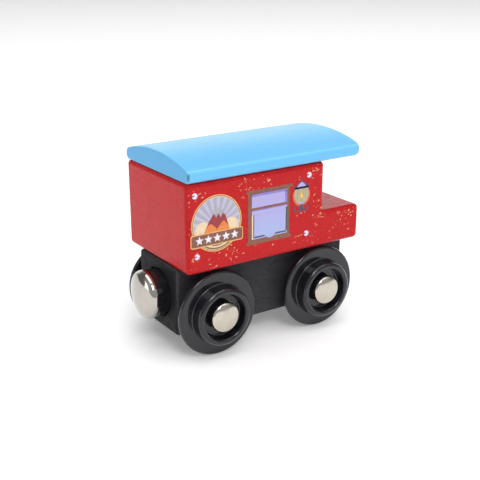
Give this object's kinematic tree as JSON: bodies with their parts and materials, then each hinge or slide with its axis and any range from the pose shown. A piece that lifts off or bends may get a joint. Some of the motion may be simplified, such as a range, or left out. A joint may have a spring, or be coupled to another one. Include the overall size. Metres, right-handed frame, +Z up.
{
  "type": "wooden toy railway caboose",
  "caption": "Wooden toy-railway caboose: cab with open rear platform, crowned roof board, flanged wheels on steel axles, hub caps and one magnetic coupler.",
  "frame": {"origin": "on the track, under the middle of the overall length and width, at the lowest point of the wheel flanges", "axes": "+X towards the open rear platform, -X towards the coupler, +Z up; the left side, seen looking forward, is -Y"},
  "size_m": [0.055, 0.0332, 0.0474],
  "materials": {
    "red_paint": "gloss red enamel on beech, with faint printed scenes on the sides",
    "blue_paint": "semi-gloss sky blue enamel on beech",
    "black_paint": "satin black stain on beech, grain showing",
    "black_plastic": "gloss black moulded plastic",
    "nickel": "bright nickel plate",
    "steel": "plain zinc-plated steel",
    "magnet": "dark sintered ferrite",
    "bare_wood": "bare beech"
  },
  "bodies": {
    "car": {"body_block": "red_paint", "roof_board": "blue_paint", "chassis_block": "black_paint", "front_axle": "steel", "rear_axle": "steel", "front_left_hub_cap": "nickel", "front_right_hub_cap": "nickel", "rear_left_hub_cap": "nickel", "rear_right_hub_cap": "nickel", "coupler_pin": "steel", "front_chassis_screw": "steel", "rear_chassis_screw": "steel", "front_roof_dowel": "bare_wood", "rear_roof_dowel": "bare_wood"},
    "front_left_wheelset": {"front_left_wheel": "black_plastic"},
    "front_right_wheelset": {"front_right_wheel": "black_plastic"},
    "rear_left_wheelset": {"rear_left_wheel": "black_plastic"},
    "rear_right_wheelset": {"rear_right_wheel": "black_plastic"},
    "coupler": {"coupler_sleeve": "black_plastic", "coupler_magnet": "magnet", "coupler_cap": "nickel"}
  },
  "joints": [
    {"name": "front_left_wheel_spin", "type": "hinge", "parent": "car", "child": "front_left_wheelset", "pos_m": [-0.0129, -0.0125, 0.0103], "axis": [0, 1, 0], "continuous": true},
    {"name": "front_right_wheel_spin", "type": "hinge", "parent": "car", "child": "front_right_wheelset", "pos_m": [-0.0129, 0.0125, 0.0103], "axis": [0, 1, 0], "continuous": true},
    {"name": "rear_left_wheel_spin", "type": "hinge", "parent": "car", "child": "rear_left_wheelset", "pos_m": [0.0166, -0.0125, 0.0103], "axis": [0, 1, 0], "continuous": true},
    {"name": "rear_right_wheel_spin", "type": "hinge", "parent": "car", "child": "rear_right_wheelset", "pos_m": [0.0166, 0.0125, 0.0103], "axis": [0, 1, 0], "continuous": true},
    {"name": "coupler_turn", "type": "hinge", "parent": "car", "child": "coupler", "pos_m": [-0.0246, 0, 0.0134], "axis": [1, 0, 0], "continuous": true}
  ]
}
